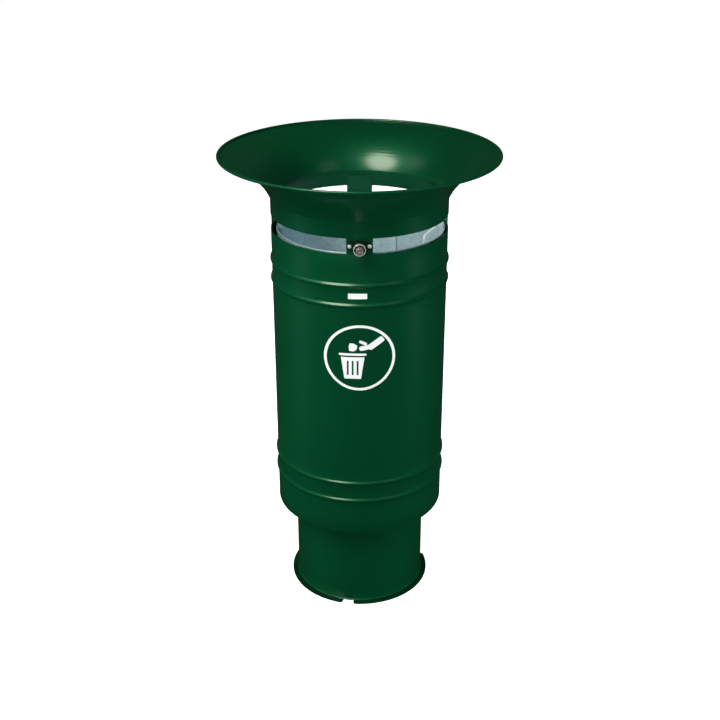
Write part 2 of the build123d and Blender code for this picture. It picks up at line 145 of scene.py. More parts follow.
class BinColours(bpy.types.PropertyGroup):
    """Colours and gloss of the finishes."""

    green: bpy.props.FloatVectorProperty(
        name="Green", description="Powder coat", subtype="COLOR", default=(0.0008, 0.0440, 0.0165))
    gloss: bpy.props.FloatProperty(
        name="Coat roughness", description="Roughness under the coat's clear skin",
        default=0.50, min=0, max=1)
    zinc: bpy.props.FloatVectorProperty(
        name="Zinc", description="Galvanised sheet", subtype="COLOR", default=(0.56, 0.74, 0.84))
    bright: bpy.props.FloatVectorProperty(
        name="Bright zinc", description="Plated wire and screws", subtype="COLOR", default=(0.84, 0.88, 0.90))
    wire: bpy.props.FloatVectorProperty(
        name="Wire", description="Liner handles", subtype="COLOR", default=(0.86, 0.94, 0.98))
    cast: bpy.props.FloatVectorProperty(
        name="Cast zinc", description="Lock rotor", subtype="COLOR", default=(0.44, 0.39, 0.38))
    film: bpy.props.FloatVectorProperty(
        name="Film", description="Label and pictogram", subtype="COLOR", default=(0.86, 0.91, 0.94))


def sizes():
    """The scene's own sizes."""
    return bpy.context.scene.bin_sizes


def colours():
    """The scene's own colours."""
    return bpy.context.scene.bin_colours


# ---------------------------------------------------------------- outlines

def rounded(points, radii, steps=5, closed=True):
    """Straight runs joined by an arc at each corner.

    At a corner with half angle h the arc starts radius / tan(h) along each run, and its points
    turn evenly about the centre that lies radius / sin(h) along the bisector.
    """
    corner = np.asarray(points, float)
    radius = np.broadcast_to(np.maximum(radii, 1e-6), len(corner))[:, None]
    back = np.roll(corner, 1, 0) - corner
    ahead = np.roll(corner, -1, 0) - corner
    back /= np.linalg.norm(back, axis=1, keepdims=True)
    ahead /= np.linalg.norm(ahead, axis=1, keepdims=True)
    half = np.arccos(np.clip((back * ahead).sum(1, keepdims=True), -1, 1)) / 2
    bisector = back + ahead
    bisector /= np.linalg.norm(bisector, axis=1, keepdims=True)
    centre = corner + bisector * radius / np.sin(half)
    first = corner + back * radius / np.tan(half) - centre
    last = corner + ahead * radius / np.tan(half) - centre
    turn = (np.pi - 2 * half)[:, None]
    share = np.linspace(0, 1, steps)[None, :, None]
    arcs = np.sin((1 - share) * turn) * first[:, None] + np.sin(share * turn) * last[:, None]
    arcs = centre[:, None] + arcs / np.sin(turn)
    if closed:
        return arcs.reshape(-1, corner.shape[1])
    return np.vstack([corner[:1], arcs[1:-1].reshape(-1, corner.shape[1]), corner[-1:]])


def arc(centre, radius, start, end, steps):
    """Points of a circle about centre, from one angle to the other in degrees."""
    angle = np.radians(np.linspace(start, end, steps))
    return np.column_stack([centre[0] + radius * np.cos(angle), centre[1] + radius * np.sin(angle)])


def rectangle(low_u, high_u, low_v, high_v):
    """Corners of a rectangle, anticlockwise."""
    return [(low_u, low_v), (high_u, low_v), (high_u, high_v), (low_u, high_v)]


def evened(outline, step=1.5 * MM):
    """The same closed outline, with more points wherever a run is longer than step."""
    ring = np.vstack([outline, outline[:1]])
    walk = np.concatenate([[0], np.cumsum(np.linalg.norm(np.diff(ring, axis=0), axis=1))])
    stops = np.unique(np.concatenate([walk, np.arange(0, walk[-1], step)]))[:-1]
    return np.column_stack([np.interp(stops, walk, ring[:, 0]), np.interp(stops, walk, ring[:, 1])])


def signed_area(outline):
    """Area of a closed outline, positive when it runs anticlockwise."""
    x, y = outline[:, 0], outline[:, 1]
    return 0.5 * np.sum(x * np.roll(y, -1) - np.roll(x, -1) * y)


# ---------------------------------------------------------------- surfaces

def grid_faces(rows, columns, wrap_rows, wrap_columns):
    """Quads between neighbouring rows and columns of a grid of points."""
    row = np.arange(rows if wrap_rows else rows - 1)
    column = np.arange(columns if wrap_columns else columns - 1)
    i, j = [a.ravel() for a in np.meshgrid(row, column, indexing="ij")]
    next_i, next_j = (i + 1) % rows, (j + 1) % columns
    corners = [(i, j), (next_i, j), (next_i, next_j), (i, next_j)]
    return np.column_stack([r * columns + c for r, c in corners]).tolist()


def lathe(section, segments=192, centre=(0.0, 0.0), start=0.0, sweep=360.0, closed=True, push=None):
    """A section (radius, height) turned about an upright axis, from the front towards +X.

    x = r sin t, y = -r cos t, z = h, with r moved by push(t, h) where that is given.
    """
    section = np.asarray(section, float)
    if signed_area(section) < 0:
        section = section[::-1]
    whole = sweep >= 360.0
    turn = np.radians(start + np.linspace(0, sweep, segments, endpoint=not whole))[:, None]
    radius, height = section[:, 0][None], section[:, 1][None] + 0 * turn
    if push is not None:
        radius = radius + push(turn, height)
    points = np.stack([centre[0] + radius * np.sin(turn), centre[1] - radius * np.cos(turn), height], -1)
    count = len(section)
    faces = grid_faces(segments, count, whole, closed)
    if not whole:
        faces.append(list(range(count)))
        faces.append(list(range(segments * count - 1, (segments - 1) * count - 1, -1)))
    return points.reshape(-1, 3), faces


def lathe_along(axis, section, place, segments=48, closed=True):
    """A section (radius, reach) turned about a level axis: "x" or "-y", through place."""
    points, faces = lathe(section, segments, closed=closed)
    x, y, z = points.T
    if axis == "x":
        points = np.column_stack([z, -y, -x])
    else:
        points = np.column_stack([x, -z, -y])
    return points + np.asarray(place), faces


def slab(outline, low, high):
    """An upright outline (x, z) given a thickness from low to high along Y."""
    outline = np.asarray(outline, float)
    if signed_area(outline) < 0:
        outline = outline[::-1]
    count = len(outline)
    x, z = outline.T
    near = np.column_stack([x, np.full(count, low), z])
    far = np.column_stack([x, np.full(count, high), z])
    faces = grid_faces(count, 2, True, False)
    points = np.stack([near, far], 1).reshape(-1, 3)
    faces.append(list(range(0, 2 * count, 2)))
    faces.append(list(range(2 * count - 1, 0, -2)))
    return points, faces


def pierced(outlines, low, high):
    """A flat plate from low to high: the first outline is its edge, the others are openings in it."""
    plan = bmesh.new()
    for outline in outlines:
        ring = [plan.verts.new((*point, low)) for point in outline]
        for near, far in zip(ring, ring[1:] + ring[:1]):
            plan.edges.new((near, far))
    bmesh.ops.triangle_fill(plan, use_beauty=True, edges=plan.edges[:])
    plan.verts.index_update()
    points = np.array([vertex.co for vertex in plan.verts])
    under = [[vertex.index for vertex in face.verts] for face in plan.faces]
    plan.free()
    faces = under + [[i + len(points) for i in face] for face in under]
    start = 0
    for outline in outlines:
        near = np.arange(start, start + len(outline))
        far = np.roll(near, -1)
        faces += np.stack([near, far, far + len(points), near + len(points)], 1).tolist()
        start += len(outline)
    return np.vstack([points, points + (0, 0, high - low)]), faces


def carried(path, radius, flat, sides=20):
    """A round section carried along a bent wire's path.

    Each ring lies square to the path's own direction: one of its axes is flat, the normal of the
    plane that the wire is bent in, and the other is square to both. The ends close to a point.
    """
    path = np.asarray(path, float)
    along = np.gradient(path, axis=0)
    along /= np.linalg.norm(along, axis=1, keepdims=True)
    across = np.cross(flat, along)
    across /= np.linalg.norm(across, axis=1, keepdims=True)
    up = np.cross(along, across)
    taper = radius * np.array([0.0, 0.75])
    size = np.concatenate([taper, np.full(len(path), float(radius)), taper[::-1]])
    tip = 0.4 * MM
    path = np.vstack([path[:1] - along[:1] * tip, path[:1] - along[:1] * tip / 2, path,
                      path[-1:] + along[-1:] * tip / 2, path[-1:] + along[-1:] * tip])
    across = np.vstack([across[:1]] * 2 + [across] + [across[-1:]] * 2)
    up = np.vstack([up[:1]] * 2 + [up] + [up[-1:]] * 2)
    angle = np.linspace(0, 2 * np.pi, sides, endpoint=False)
    ring = np.cos(angle)[None, :, None] * across[:, None] + np.sin(angle)[None, :, None] * up[:, None]
    points = path[:, None] + ring * size[:, None, None]
    return points.reshape(-1, 3), grid_faces(len(path), sides, False, True)


def skin(outer, inner, low, high, height, rings=6):
    """A flat drawing wrapped on the shell's front as a thin film.

    Points run from the inner outline (or its middle point) to the outer one, u across and v up;
    each lies at x = u, y = -sqrt(r^2 - u^2), z = height + v, on the film's back and then its face.
    """
    solid = np.ndim(inner) == 1
    outer = evened(outer) if solid else outer
    inner = np.broadcast_to(np.asarray(inner, float), outer.shape)
    share = np.linspace(0, 1, rings)[:, None, None]
    share = np.concatenate([share, share[::-1]])
    flat = inner + (outer - inner) * share
    level = np.repeat([low, high], rings)[:, None]
    y = -np.sqrt(level**2 - flat[..., 0]**2)
    points = np.stack([flat[..., 0], y, height + flat[..., 1]], -1)
    return points.reshape(-1, 3), grid_faces(2 * rings, len(outer), not solid, True)


def piece(name, surfaces, body, finish, stands_for=(), bevel=0.0, look=None):
    """One finished object: surfaces joined in one mesh, poles closed and faces outward.

    It rides on a body and has its slot's finish, or the look that is given instead.
    """
    points, faces, offset = [], [], 0
    for surface_points, surface_faces in surfaces:
        points.append(surface_points)
        faces += [[i + offset for i in face] for face in surface_faces]
        offset += len(surface_points)
    mesh = bpy.data.meshes.new(name)
    mesh.from_pydata(np.vstack(points).tolist(), [], faces)
    build = bmesh.new()
    build.from_mesh(mesh)
    bmesh.ops.remove_doubles(build, verts=build.verts, dist=2e-6)
    bmesh.ops.dissolve_degenerate(build, edges=build.edges, dist=1e-7)
    bmesh.ops.recalc_face_normals(build, faces=build.faces)
    build.to_mesh(mesh)
    build.free()
    mesh.validate()
    mesh.polygons.foreach_set("use_smooth", np.ones(len(mesh.polygons), bool))
    mesh.set_sharp_from_angle(angle=np.radians(38))
    thing = bpy.data.objects.new(name, mesh)
    bpy.context.scene.collection.objects.link(thing)
    mesh.materials.append(finish_named(look or finish))
    if bevel:
        rounding = thing.modifiers.new("edge rounding", "BEVEL")
        rounding.width = bevel
        rounding.segments = 3
        rounding.limit_method = "ANGLE"
        rounding.angle_limit = np.radians(38)
        rounding.harden_normals = True
    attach(thing, body)
    if stands_for:
        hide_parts(*stands_for)
    return thing


# ---------------------------------------------------------------- finishes

class Value:
    """A shader socket that takes part in Python arithmetic."""

    def __init__(self, paint, socket):
        self.paint, self.socket = paint, socket

    def math(self, operation, *others):
        sockets = dict(enumerate(others))
        return self.paint.node("ShaderNodeMath", {"operation": operation}, sockets)

    def __add__(self, other):
        return self.math("ADD", self, other)

    def __sub__(self, other):
        return self.math("SUBTRACT", self, other)

    def __rsub__(self, other):
        return self.math("SUBTRACT", other, self)

    def __mul__(self, other):
        return self.math("MULTIPLY", self, other)

    __radd__, __rmul__ = __add__, __mul__

    def between(self, low, high, to_low=0.0, to_high=1.0):
        """Smooth step from low to high."""
        sockets = {0: self, 1: low, 2: high, 3: to_low, 4: to_high}
        return self.paint.node("ShaderNodeMapRange", {"interpolation_type": "SMOOTHSTEP"}, sockets)


class Paint:
    """A procedural material while its nodes are laid out."""

    def __init__(self, name):
        self.material = bpy.data.materials.new(name)
        self.material.use_nodes = True
        self.tree = self.material.node_tree
        self.tree.nodes.clear()
        self.place = self.node("ShaderNodeTexCoord", take="Object")

    def node(self, kind, settings=None, sockets=None, take=0):
        """Adds a node: its settings first, then values or links of its sockets; returns one output."""
        made = self.tree.nodes.new(kind)
        for key, value in (settings or {}).items():
            setattr(made, key, value)
        for key, value in (sockets or {}).items():
            if isinstance(value, Value):
                self.tree.links.new(value.socket, made.inputs[key])
            else:
                made.inputs[key].default_value = value
        return Value(self, made.outputs[take])

    def noise(self, scale, detail=2.0, rough=0.5, stretch=(1, 1, 1)):
        """Noise from 0 to 1 in the piece's own coordinates, stretched along an axis where asked."""
        place = self.node("ShaderNodeMapping", None, {"Vector": self.place, "Scale": stretch})
        sockets = {"Vector": place, "Scale": scale, "Detail": detail, "Roughness": rough}
        return self.node("ShaderNodeTexNoise", None, sockets)

    def cells(self, scale):
        """Voronoi cells: a random colour for each."""
        sockets = {"Vector": self.place, "Scale": scale, "Randomness": 1.0}
        return self.node("ShaderNodeTexVoronoi", None, sockets, "Color")

    def measured(self, way):
        """How far each place lies along a direction."""
        sockets = {0: self.place, 1: way}
        return self.node("ShaderNodeVectorMath", {"operation": "DOT_PRODUCT"}, sockets, "Value")

    def mix(self, share, first, second):
        """Colour mix; first and second are colours or links."""
        settings = {"data_type": "RGBA", "clamp_factor": True}
        first, second = [c if isinstance(c, Value) else (*c, 1.0) for c in (first, second)]
        return self.node("ShaderNodeMix", settings, {0: share, 6: first, 7: second}, 2)

    def bump(self, height, distance, strength, under=None):
        """Bump from a height, over another bump where that is given."""
        sockets = {"Height": height, "Distance": distance, "Strength": strength}
        if under is not None:
            sockets["Normal"] = under
        return self.node("ShaderNodeBump", None, sockets)

    def finish(self, **sockets):
        """Joins the principled shader to the output."""
        named = {key.replace("_", " "): value for key, value in sockets.items()}
        shader = self.node("ShaderNodeBsdfPrincipled", None, named)
        output = self.tree.nodes.new("ShaderNodeOutputMaterial")
        self.tree.links.new(shader.socket, output.inputs["Surface"])
        return self.material


def tint(colour, factor):
    """A colour made lighter or darker."""
    return tuple(min(1.0, channel * factor) for channel in colour)


def coated_green(name="green powder coat", shade=1.0):
    """Green powder coat: shallow orange peel, fine grain and a slightly uneven tone."""
    paint = Paint(name)
    # shade under 1 darkens the whole coat evenly; the flange uses it as painted shade
    green = tint(colours().green, shade)
    tone = paint.noise(4.0, 3.0)
    fine = paint.noise(70.0, 4.0, 0.6)
    body = paint.mix(tone.between(0.3, 0.7), tint(green, 0.94), tint(green, 1.06))
    gloss = colours().gloss + fine.between(0.25, 0.75, -0.02, 0.03)
    peel = paint.noise(420.0, 1.0)
    grain = paint.noise(1500.0, 1.0)
    normal = paint.bump(grain, 0.00001, 0.6, paint.bump(peel, 0.00003, 0.7))
    return paint.finish(Base_Color=body, Roughness=gloss, Normal=normal, Specular_IOR_Level=0.55,
                        Specular_Tint=(0.06, 1.0, 0.50, 1.0), Coat_Weight=0.80, Coat_Roughness=0.21)


def flange_painted_shade():
    """The same green coat on the flange, darkened to 0.42 as painted shade."""
    # painted shade: the whole flange coat is made 0.42 as bright as the green
    return coated_green("green coat with painted shade on the flange", 0.42)


def lock_black():
    """Dark coat on the die-cast lock housing, with a fine cast grain and rubbed high spots."""
    paint = Paint("dark lock coat")
    grain = paint.noise(900.0, 2.0)
    rub = paint.noise(140.0, 4.0, 0.7).between(0.60, 0.72)
    body = paint.mix(rub * 0.35, (0.0015, 0.0150, 0.0070), (0.010, 0.035, 0.020))
    gloss = grain.between(0.3, 0.7, 0.36, 0.48)
    return paint.finish(Base_Color=body, Roughness=gloss, Normal=paint.bump(grain, 0.00002, 0.6))


def galvanised():
    """Hot-dip zinc: fine, faint crystal spangle in two sizes, with streaks along the sheet."""
    paint = Paint("galvanised sheet")
    zinc = tuple(colours().zinc)
    large = paint.node("ShaderNodeSeparateColor", None, {0: paint.cells(160.0)}, "Red")
    small = paint.node("ShaderNodeSeparateColor", None, {0: paint.cells(380.0)}, "Green")
    streak = paint.noise(30.0, 5.0, 0.6, (1, 1, 0.12))
    crystal = large * 0.45 + small * 0.25 + streak * 0.45
    body = paint.mix(crystal.between(0.25, 0.95), tint(zinc, 0.90), tint(zinc, 1.10))
    stain = paint.noise(9.0, 4.0, 0.6).between(0.5, 0.8)
    body = paint.mix(stain * 0.15, body, tint(zinc, 0.7))
    # the seam line is partly a flux stain and partly a painted shadow of the lap's edge
    body = paint.mix(seam_flux_and_shadow(paint) * 0.45, body, tint(zinc, 0.3))
    rough = crystal.between(0.2, 1.0, 0.36, 0.46)
    feather = paint.noise(420.0, 2.0, 0.6, (1, 1, 0.3))
    normal = paint.bump(feather, 0.00003, 0.5, paint.bump(crystal, 0.00004, 0.5))
    return paint.finish(Base_Color=body, Roughness=rough, Metallic=0.40, Normal=normal)


def seam_flux_and_shadow(paint):
    """Share of dark flux and painted shadow along the lap: a thin upright line where the sheet's edge meets
    the wall.
    """
    turn = np.radians(SEAM_TURN)
    side = paint.measured((np.cos(turn), np.sin(turn), 0)) - LINER_SHIFT * float(np.cos(turn))
    depth = paint.measured((np.sin(turn), -np.cos(turn), 0))
    off = side.math("ABSOLUTE", side)
    line = off.between(0.9 * MM, 1.9 * MM, 1.0, 0.0)
    return line * depth.between(0.05, 0.06)


def drawn_wire():
    """Galvanised wire of the handles: paler and smoother than the sheet, with drawing lines."""
    paint = Paint("galvanised wire")
    wire = tuple(colours().wire)
    lines = paint.noise(320.0, 3.0, 0.6, (1, 1, 0.2))
    dull = paint.noise(120.0, 4.0, 0.65).between(0.5, 0.8)
    body = paint.mix(dull * 0.4, wire, tint(wire, 0.7))
    rough = 0.26 + dull * 0.12
    normal = paint.bump(lines, 0.00002, 0.5)
    return paint.finish(Base_Color=body, Roughness=rough, Metallic=0.25, Normal=normal)


def bright_zinc():
    """Plated wire, ring and screws: nearly white metal with fine drawing lines and dull patches."""
    paint = Paint("bright zinc plate")
    bright = tuple(colours().bright)
    lines = paint.noise(260.0, 3.0, 0.6, (1, 1, 8))
    dull = paint.noise(90.0, 4.0, 0.65).between(0.45, 0.75)
    body = paint.mix(dull * 0.5, bright, tint(bright, 0.72))
    rough = 0.28 + dull * 0.16 + lines.between(0.3, 0.7, -0.03, 0.03)
    normal = paint.bump(lines, 0.00002, 0.5)
    return paint.finish(Base_Color=body, Roughness=rough, Metallic=0.45, Normal=normal)


def lock_zinc():
    """Die-cast zinc of the rotor: greyer, with cast grain and key marks."""
    paint = Paint("cast zinc")
    cast = tuple(colours().cast)
    grain = paint.noise(1100.0, 2.0)
    marks = paint.noise(380.0, 5.0, 0.7, (1, 6, 1)).between(0.55, 0.68)
    body = paint.mix(marks * 0.5, cast, tint(cast, 1.8))
    rough = 0.40 - marks * 0.12 + grain.between(0.3, 0.7, -0.03, 0.03)
    normal = paint.bump(grain, 0.00002, 0.6)
    return paint.finish(Base_Color=body, Roughness=rough, Metallic=0.6, Normal=normal)


def label_white():
    """Matt film: faint grain, thin grey soiling and the orange peel of the coat below."""
    paint = Paint("white film")
    film = tuple(colours().film)
    soil = paint.noise(45.0, 5.0, 0.6).between(0.5, 0.8)
    body = paint.mix(soil * 0.12, film, tint(film, 0.80))
    grain = paint.noise(620.0, 1.5)
    rough = soil.between(0, 1, 0.42, 0.52)
    return paint.finish(Base_Color=body, Roughness=rough, Normal=paint.bump(grain, 0.00003, 0.6))


FINISHES = {"coated_green": coated_green, "lock_black": lock_black, "galvanised": galvanised,
            "bright_zinc": bright_zinc, "lock_zinc": lock_zinc, "label_white": label_white,
            "drawn_wire": drawn_wire, "flange_painted_shade": flange_painted_shade}
made_finishes = {}


def finish_named(slot):
    """The material of a slot, made once."""
    if slot not in made_finishes:
        made_finishes[slot] = FINISHES[slot]()
    return made_finishes[slot]


# ---------------------------------------------------------------- sections

def rolled_sheet(turn, height):
    """Radius change of a rolled sheet: long soft waves, and a low ridge along the seam at the back."""
    s = sizes()
    wave = np.sin(3 * turn + 9 * height) * np.sin(7 * height + 1.3) + 0.5 * np.sin(8 * turn - 13 * height)
    from_seam = (turn - np.pi) * SHELL_RADIUS / (1.6 * MM)
    return wave * s.waviness * 0.6 + 0.30 * MM * np.exp(-from_seam**2)


def rib_heights():
    """Middle heights of the four ribs."""
    s = sizes()
    return np.array([s.lower_rib, s.lower_rib + s.rib_spacing, s.upper_rib, s.upper_rib + s.rib_spacing])


def shell_section(radius, low, high):
    """One side of the shell's wall from low to high: a raised cosine to the power 0.8 at each rib."""
    s = sizes()
    across = np.linspace(-1, 1, 25)
    near_ribs = (rib_heights()[:, None] + across * s.rib_half).ravel()
    height = np.unique(np.concatenate([np.linspace(low, high, 22), near_ribs]))
    step = np.clip((height[:, None] - rib_heights()) / s.rib_half, -1, 1)
    rise = ((1 + np.cos(np.pi * step)) / 2) ** 0.8
    return np.column_stack([radius + s.rib_proud * rise.max(1), height])


def funnel_points(offset, steps):
    """Arc of the funnel's section, offset to the inside, and the slope at each point.

    The arc leaves the band's edge at the start slope and reaches the middle of the rim bead.
    """
    s = sizes()
    run = RIM_RADIUS - s.bead - SHELL_RADIUS
    rise = funnel_high[2] - s.bead - band_high[2] - s.bead
    half_turn = np.arctan2(run, rise) - s.funnel_start
    radius = np.hypot(run, rise) / 2 / np.sin(half_turn)
    slope = np.linspace(s.funnel_start, s.funnel_start + 2 * half_turn, steps)
    middle = (SHELL_RADIUS + radius * np.cos(s.funnel_start), band_high[2] - radius * np.sin(s.funnel_start))
    reach = radius + offset
    return np.column_stack([middle[0] - reach * np.cos(slope), middle[1] + reach * np.sin(slope)])


def beaded(first, second, centre, radius, steps=28):
    """Two sides of a sheet that ends in a round bead: each side stops where it meets the circle."""
    def outside(side):
        return side[np.hypot(*(side - centre).T) > radius]

    def bearing(side):
        last = side[-1] - centre
        return np.degrees(np.arctan2(last[1], last[0]))

    first, second = outside(first), outside(second)
    start, end = bearing(first), bearing(second)
    if end < start:
        end += 360
    return np.vstack([first, arc(centre, radius, start + 4, end - 4, steps), second[::-1]])


# ---------------------------------------------------------------- operators: shell, foot and hood

class BIN_OT_shell(bpy.types.Operator):
    """Ribbed cylinder rolled from sheet, with rounded cut edges"""

    bl_idname = "bin.shell"
    bl_label = "Shell"

    def execute(self, context):
        s = sizes()
        low, high = shell_low[2], shell_high[2]
        outer = shell_section(SHELL_RADIUS, low + s.edge, high - s.edge)
        inner = shell_section(SHELL_RADIUS - s.sheet, low + s.edge, high - s.edge)
        inset = s.edge * 0.35
        top = [(SHELL_RADIUS - inset, high - inset), (SHELL_RADIUS - s.edge, high),
               (SHELL_RADIUS - s.sheet + s.edge, high), (SHELL_RADIUS - s.sheet + inset, high - inset)]
        bottom = [(r, low + high - z) for r, z in top[::-1]]
        section = np.vstack([outer, top, inner[::-1], bottom])
        piece("shell", [lathe(section, 256, push=rolled_sheet)], "body", "coated_green", ["body_shell"])
        return {"FINISHED"}


class BIN_OT_foot(bpy.types.Operator):
    """Floor plate, foot tube with its welds, and the notched flange"""

    bl_idname = "bin.foot"
    bl_label = "Floor, foot and flange"

    notch_width: bpy.props.FloatProperty(
        name="Notch width", description="Width of a notch", default=25.0 * MM, unit="LENGTH")
    notch_round: bpy.props.FloatProperty(
        name="Notch round", description="Radius of a notch's outer corners", default=6.0 * MM, unit="LENGTH")

    def execute(self, context):
        s = sizes()
        wall = 3.0 * MM
        floor = rectangle(100 * MM, SHELL_RADIUS - s.sheet, floor_low[2], floor_high[2])
        plate = lathe(rounded(floor, s.edge), 160)
        piece("floor_plate", [plate], "body", "coated_green", ["body_floor"])
        tube = rectangle(FOOT_RADIUS - wall, FOOT_RADIUS, foot_low[2], foot_high[2])
        weld = 2.6 * MM
        low_weld = [(FOOT_RADIUS - MM, foot_low[2]), (FOOT_RADIUS + weld, foot_low[2]),
                    (FOOT_RADIUS + 0.9 * MM, foot_low[2] + 0.9 * MM), (FOOT_RADIUS, foot_low[2] + weld),
                    (FOOT_RADIUS - MM, foot_low[2] + weld)]
        high_weld = [(r, foot_low[2] + foot_high[2] - z) for r, z in low_weld]
        welds = [lathe(rounded(w, 0.3 * MM, 4), 300, push=self.beads) for w in (low_weld, high_weld)]
        pipe = lathe(rounded(tube, s.edge), 200, push=rolled_sheet)
        piece("foot", [pipe, *welds], "body", "coated_green", ["foot_tube"])
        # the flange's look is the green coat darkened as painted shade
        piece("flange", [self.flange()], "body", "coated_green", ["base_flange"], bevel=0.5 * MM,
              look="flange_painted_shade")
        return {"FINISHED"}

    @staticmethod
    def beads(turn, height):
        """Overlapping weld beads: a low scallop along the seam."""
        return 0.16 * MM * np.abs(np.sin(90 * turn + 0.5 * np.sin(7 * turn))) + 0 * height

    def flange(self):
        """Ring with three notches in its edge and three anchor holes inside the foot.

        The outer edge is a circle that drops to the foot's radius within each notch; the drop is
        a quarter circle of the notch's round at each side.
        """
        first_notch, count = -10.0, 3
        edge = np.radians(np.linspace(-180, 180, 1440, endpoint=False))
        around = (np.degrees(edge) - first_notch + 60) % (360 / count) - 60
        aside = np.abs(FLANGE_RADIUS * np.sin(np.radians(around)))
        half = self.notch_width / 2
        near = np.clip((aside - half) / self.notch_round, 0, 1)
        rounding = self.notch_round * (1 - np.sqrt(1 - (1 - near) ** 2))
        radius = np.where(aside < half, FOOT_RADIUS - 0.2 * MM, FLANGE_RADIUS - rounding)
        outer = np.column_stack([radius * np.sin(edge), -radius * np.cos(edge)])
        circle = np.column_stack([np.sin(edge), -np.cos(edge)])
        bore, anchor, anchor_circle = 92 * MM, 6 * MM, 117 * MM
        turn = np.radians(360 / count * np.arange(count))
        centres = anchor_circle * np.column_stack([-np.sin(turn), -np.cos(turn)])
        anchors = [anchor * circle[::36] + centre for centre in centres]
        return pierced([outer, bore * circle[::4], *anchors], flange_low[2], flange_high[2])


class BIN_OT_hood(bpy.types.Operator):
    """Spun funnel with its rolled rim, and the neck band under it"""

    bl_idname = "bin.hood"
    bl_label = "Funnel and band"

    def execute(self, context):
        s = sizes()
        centre = np.array([RIM_RADIUS - s.bead, funnel_high[2] - s.bead])
        section = beaded(funnel_points(0, 90), funnel_points(s.sheet, 90), centre, s.bead)
        piece("funnel_hood", [lathe(section, 288, push=self.spun)], "hood", "coated_green",
              ["funnel", "rim_wire"])
        corners = rectangle(SHELL_RADIUS - s.sheet, SHELL_RADIUS, band_low[2], band_high[2])
        band = rounded(corners, [s.edge, s.edge, 0.1 * MM, 0.1 * MM])
        fill = [(SHELL_RADIUS - s.sheet - 0.1 * MM, band_high[2] - 1.2 * MM),
                (SHELL_RADIUS - 0.2 * MM, band_high[2] - 1.2 * MM),
                (SHELL_RADIUS + 0.35 * MM, band_high[2] + 0.6 * MM),
                (SHELL_RADIUS - s.sheet + 0.2 * MM, band_high[2] + 0.9 * MM)]
        seam = lathe(rounded(fill, 0.2 * MM, 4), 288)
        piece("neck", [lathe(band, 256, push=rolled_sheet), seam], "hood", "coated_green", ["neck_band"])
        return {"FINISHED"}

    @staticmethod
    def spun(turn, height):
        """Faint rings and a long wave that spinning leaves in the sheet."""
        rise = (height - band_high[2]) / (funnel_high[2] - band_high[2])
        soft = np.clip(rise * (1 - rise) * 4, 0, 1)
        return 0.07 * MM * soft * np.sin(95 * rise) + 0.18 * MM * soft * np.sin(2 * turn + 0.7)


def bent_strip(half_width, outer, inner, low, high, centre_angle):
    """A strip rolled to the band's curve, with rounded edges."""
    edge = 0.5 * MM
    section = rounded(rectangle(inner, outer, low, high), edge, 4)
    half = np.degrees(np.arcsin(half_width / outer))
    return lathe(section, 25, start=centre_angle - half, sweep=2 * half)


class BIN_OT_tongues(bpy.types.Operator):
    """Strips that hang from the band: the front one carries the lock"""

    bl_idname = "bin.tongues"
    bl_label = "Tongues"

    def execute(self, context):
        inner = TONGUE_OUTER - 2.0 * MM
        lap = 4.0 * MM
        places = (("front_strip", "front_tongue", 0, tongue_high[0]),
                  ("right_strip", "right_tongue", 90, side_high[1]),
                  ("left_strip", "left_tongue", -90, side_high[1]))
        for name, node, angle, half_width in places:
            low, high = tongue_low[2], tongue_high[2]
            strip = bent_strip(half_width, TONGUE_OUTER, inner, low, high, angle)
            head = bent_strip(half_width - 0.4 * MM, SHELL_RADIUS - sizes().sheet, inner + 0.3 * MM,
                              band_low[2] + lap, high - 0.4 * MM, angle)
            piece(name, [strip, head], "hood", "coated_green", [node], bevel=0.4 * MM)
        return {"FINISHED"}


